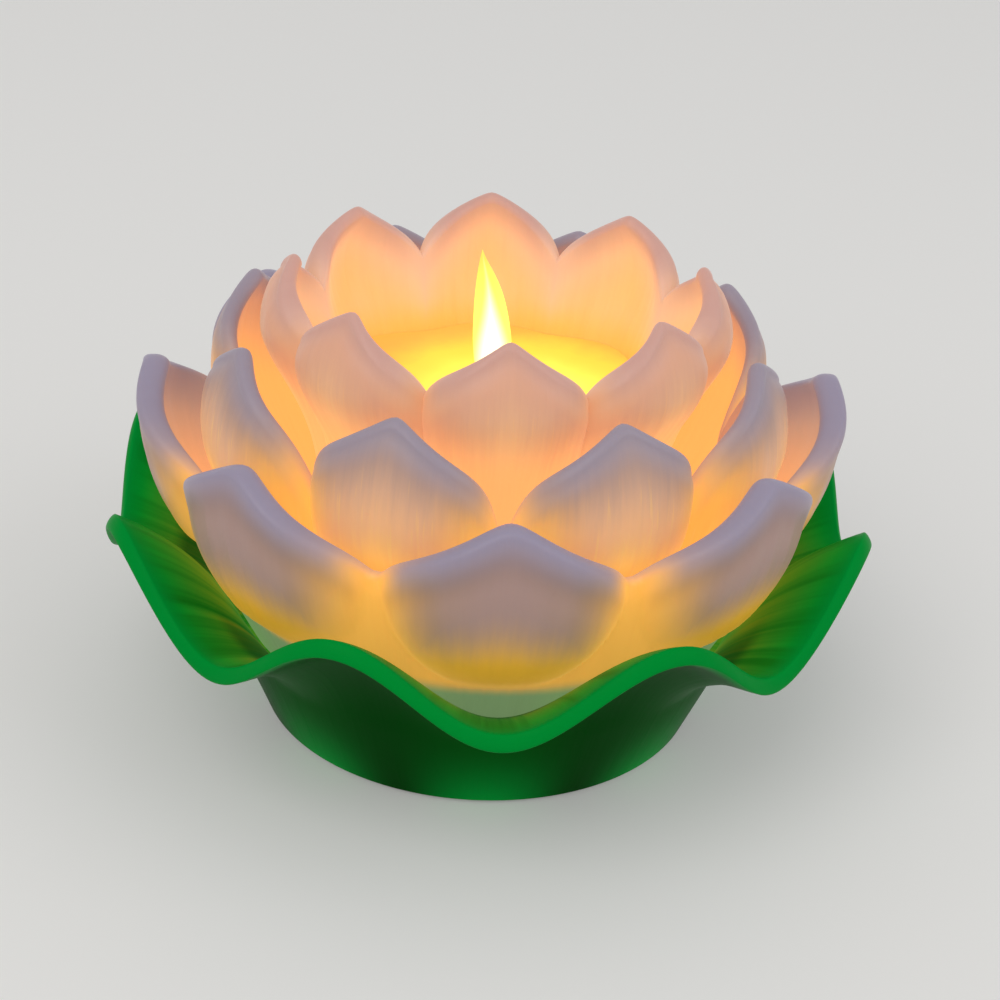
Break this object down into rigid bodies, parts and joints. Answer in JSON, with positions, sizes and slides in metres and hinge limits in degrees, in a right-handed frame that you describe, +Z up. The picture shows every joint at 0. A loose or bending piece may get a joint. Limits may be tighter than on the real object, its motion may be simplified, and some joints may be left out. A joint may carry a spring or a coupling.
{
  "type": "led lotus candle",
  "caption": "Flameless lotus candle: nested translucent petal crowns on a wavy leaf base, round a lit candle top with a swinging flame tab.",
  "frame": {"origin": "centre of the surface that the lamp stands on, on its axis", "axes": "+Z up along the axis of the flower; -Y is the front that the picture shows"},
  "size_m": [0.1608, 0.1608, 0.1035],
  "materials": {
    "leaf_green": "satin translucent",
    "outer_petal_pink": "satin translucent",
    "middle_petal_pink": "satin translucent",
    "inner_petal_pink": "satin translucent",
    "candle_cream": "satin translucent",
    "flame_yellow": "translucent",
    "black_plastic": "satin",
    "housing_white": "satin",
    "board_green": "satin",
    "lens_resin": "clear",
    "steel": "bright",
    "nickel": "plated",
    "copper": "enamelled wire",
    "cell_jacket": "printed sleeve",
    "foot_rubber": "matt",
    "lead_red": "satin",
    "lead_black": "satin"
  },
  "bodies": {
    "base": {"battery_lead_black": "lead_black", "battery_lead_red": "lead_red", "bottom_plate": "housing_white", "candle_top": "candle_cream", "capacitor": "cell_jacket", "cell_1": "cell_jacket", "cell_2": "cell_jacket", "cell_3": "cell_jacket", "coil_bobbin": "housing_white", "coil_winding": "copper", "contact_spring_1": "steel", "contact_spring_2": "steel", "contact_spring_3": "steel", "control_board": "board_green", "flame_led": "lens_resin", "flower_screw_1": "steel", "flower_screw_2": "steel", "flower_screw_3": "steel", "flower_screw_4": "steel", "foot_pad_1": "foot_rubber", "foot_pad_2": "foot_rubber", "foot_pad_3": "foot_rubber", "foot_pad_4": "foot_rubber", "glow_board": "board_green", "glow_led_1": "lens_resin", "glow_led_2": "lens_resin", "glow_led_3": "lens_resin", "glow_led_4": "lens_resin", "inner_petals": "inner_petal_pink", "lamp_lead_black": "lead_black", "lamp_lead_red": "lead_red", "leaf_base": "leaf_green", "left_bridge": "nickel", "middle_petals": "middle_petal_pink", "module_cap": "candle_cream", "module_cup": "black_plastic", "negative_contact": "nickel", "outer_petals": "outer_petal_pink", "pivot_wire": "steel", "plate_screw_1": "steel", "plate_screw_2": "steel", "plate_screw_3": "steel", "plate_screw_4": "steel", "positive_contact": "nickel", "right_bridge": "nickel", "switch_body": "steel", "timer_chip": "black_plastic"},
    "flame": {"flame_tab": "flame_yellow", "tab_magnet": "nickel"},
    "switch": {"switch_knob": "black_plastic"},
    "door": {"battery_door": "housing_white"}
  },
  "joints": [
    {"name": "flame_swing", "type": "hinge", "parent": "base", "child": "flame", "pos_m": [0, 0, 0.0587], "axis": [0, 1, 0], "range_deg": [-12, 12]},
    {"name": "switch_slide", "type": "slide", "parent": "base", "child": "switch", "axis": [1, 0, 0], "range_m": [0, 0.004]},
    {"name": "door_hinge", "type": "hinge", "parent": "base", "child": "door", "pos_m": [-0.02585, -0.004, 0.0015], "axis": [0, 1, 0], "range_deg": [0, 80]}
  ]
}
